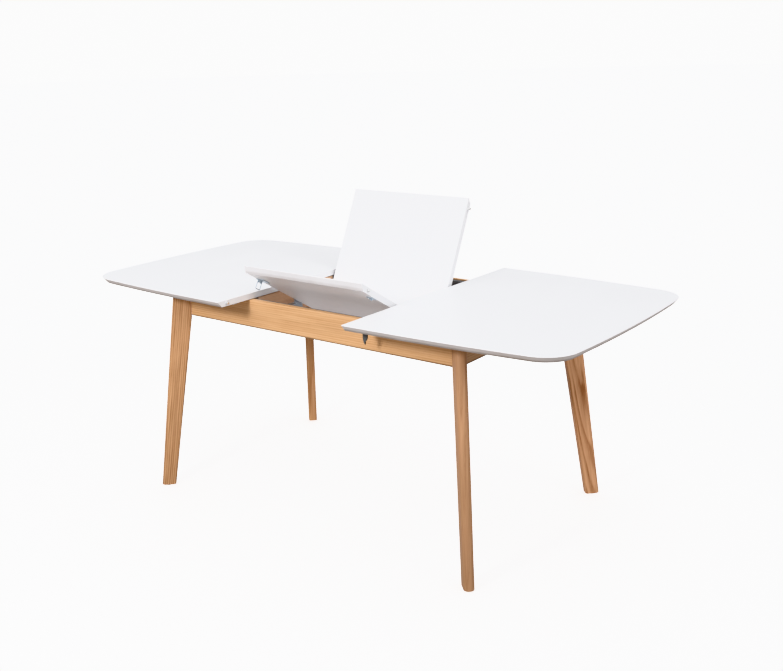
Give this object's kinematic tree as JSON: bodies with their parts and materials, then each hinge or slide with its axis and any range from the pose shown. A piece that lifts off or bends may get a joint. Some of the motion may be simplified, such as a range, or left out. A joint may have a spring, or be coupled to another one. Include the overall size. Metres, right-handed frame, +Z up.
{
  "type": "extending dining table",
  "caption": "Extending dining table with white half tops drawn apart on steel runners, a folding leaf raised in a V between them and splayed oak legs.",
  "frame": {"origin": "on the floor under the middle of the frame, which is also the middle of the box round the whole table", "axes": "+X along the table to its right end as pictured, +Y from the near side to the far side, +Z up"},
  "size_m": [1.908, 0.9, 1.0191],
  "materials": {
    "white_lacquer": "satin white lacquer on board",
    "oak": "clear matt lacquer on straight-grained oak",
    "rail_wood": "plain sanded hardwood",
    "dark_steel": "dark grey coated steel",
    "hook_steel": "dark grey pressed steel",
    "zinc": "zinc plated steel",
    "black_plastic": "moulded glide"
  },
  "bodies": {
    "frame": {"apron_far": "oak", "apron_left": "oak", "apron_near": "oak", "apron_right": "oak", "bracket_screws": "zinc", "channel_far": "dark_steel", "channel_near": "dark_steel", "channel_screws": "zinc", "corner_block_far_left": "rail_wood", "corner_block_far_right": "rail_wood", "corner_block_near_left": "rail_wood", "corner_block_near_right": "rail_wood", "cross_rail_left": "rail_wood", "cross_rail_right": "rail_wood", "foot_glides": "black_plastic", "leg_bolts": "zinc", "leg_far_left": "oak", "leg_far_right": "oak", "leg_near_left": "oak", "leg_near_right": "oak", "leg_nuts": "zinc", "leg_washers": "zinc", "pivot_bracket_left": "zinc", "pivot_bracket_right": "zinc", "rail_dowels": "rail_wood", "rest_bracket_left": "zinc", "rest_bracket_right": "zinc"},
    "left_top": {"left_joint_pins": "zinc", "left_keepers": "zinc", "left_screws": "zinc", "left_slider_far": "dark_steel", "left_slider_near": "dark_steel", "left_top": "white_lacquer"},
    "right_top": {"right_hook_pins": "zinc", "right_hook_plates": "zinc", "right_screws": "zinc", "right_slider_far": "dark_steel", "right_slider_near": "dark_steel", "right_top": "white_lacquer"},
    "hook_near": {"hook_near": "hook_steel"},
    "hook_far": {"hook_far": "hook_steel"},
    "leaf_far": {"leaf_far_hinge_cups": "zinc", "leaf_far_joint_pin": "zinc", "leaf_far_keeper": "zinc", "leaf_far_loop_plate": "zinc", "leaf_far_panel": "white_lacquer", "leaf_far_screws": "zinc", "leaf_pivot_pin_left": "zinc", "leaf_pivot_pin_right": "zinc", "leaf_pivot_plate_left": "zinc", "leaf_pivot_plate_right": "zinc"},
    "leaf_near": {"leaf_near_hinge_cups": "zinc", "leaf_near_joint_pin": "zinc", "leaf_near_keeper": "zinc", "leaf_near_loop_plate": "zinc", "leaf_near_panel": "white_lacquer", "leaf_near_screws": "zinc"},
    "leaf_links": {"leaf_hinge_links": "zinc"},
    "loop_near": {"leaf_near_wire_loop": "zinc"},
    "loop_far": {"leaf_far_wire_loop": "zinc"}
  },
  "joints": [
    {"name": "left_slide", "type": "slide", "parent": "frame", "child": "left_top", "axis": [-1, 0, 0], "range_m": [-0.0112, 0.025]},
    {"name": "right_slide", "type": "slide", "parent": "frame", "child": "right_top", "axis": [1, 0, 0], "range_m": [-0.0112, 0.025]},
    {"name": "leaf_swing", "type": "hinge", "parent": "frame", "child": "leaf_far", "pos_m": [0, 0.13, 0.718], "axis": [1, 0, 0], "range_deg": [-65, 30]},
    {"name": "leaf_fold", "type": "hinge", "parent": "leaf_far", "child": "leaf_near", "pos_m": [0, 0.05059, 0.61159], "axis": [-1, 0, 0], "range_deg": [-96.02, 44.4]},
    {"name": "leaf_link_turn", "type": "hinge", "parent": "leaf_far", "child": "leaf_links", "pos_m": [0, 0.05059, 0.61159], "axis": [-1, 0, 0], "range_deg": [-48.02, 22.2]},
    {"name": "hook_near_swing", "type": "hinge", "parent": "right_top", "child": "hook_near", "pos_m": [0.275, -0.3675, 0.7165], "axis": [0, 1, 0], "range_deg": [-60, 70]},
    {"name": "hook_far_swing", "type": "hinge", "parent": "right_top", "child": "hook_far", "pos_m": [0.275, 0.3675, 0.7165], "axis": [0, 1, 0], "range_deg": [-60, 70]},
    {"name": "loop_near_swing", "type": "hinge", "parent": "leaf_near", "child": "loop_near", "pos_m": [-0.2355, -0.27812, 0.77807], "axis": [0, 0.8572, -0.515], "range_deg": [-70, 75]},
    {"name": "loop_far_swing", "type": "hinge", "parent": "leaf_far", "child": "loop_far", "pos_m": [-0.2355, 0.23001, 0.93342], "axis": [0, 0.4226, 0.9063], "range_deg": [-70, 75]}
  ],
  "couplings": [
    {"joint": "leaf_fold", "follows": "leaf_swing", "ratio": 1.4769},
    {"joint": "leaf_link_turn", "follows": "leaf_swing", "ratio": 0.73846}
  ]
}
